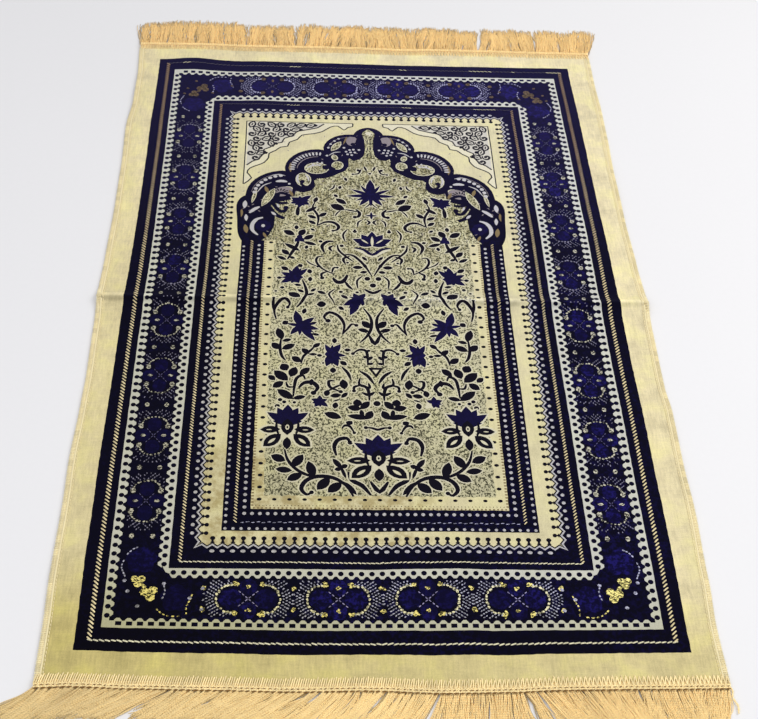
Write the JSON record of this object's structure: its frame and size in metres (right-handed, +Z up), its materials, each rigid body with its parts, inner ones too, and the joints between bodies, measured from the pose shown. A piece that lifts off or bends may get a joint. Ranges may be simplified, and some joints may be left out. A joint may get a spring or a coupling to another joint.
{
  "type": "prayer rug",
  "caption": "Flat velvet prayer rug with a woven arch, flower field and banded borders, overcast side edges and a yarn fringe along both ends, lying flat on the floor.",
  "frame": {"origin": "centre of the rug's bounding box, at floor level", "axes": "+Z up off the floor, +Y along the rug towards the end that the arch points to, +X to the right seen from the near end"},
  "size_m": [0.7476, 1.2612, 0.0089],
  "materials": {
    "pile_velvet": "short cut pile, cream and navy, with glints of metallic yarn",
    "edge_yarn": "pale gold overcast yarn, dull",
    "fringe_yarn": "silky pale gold twisted yarn"
  },
  "bodies": {
    "root": {"rug_cloth": "pile_velvet", "edge_left": "edge_yarn", "edge_right": "edge_yarn", "fringe_near": "fringe_yarn", "fringe_far": "fringe_yarn"}
  },
  "joints": []
}
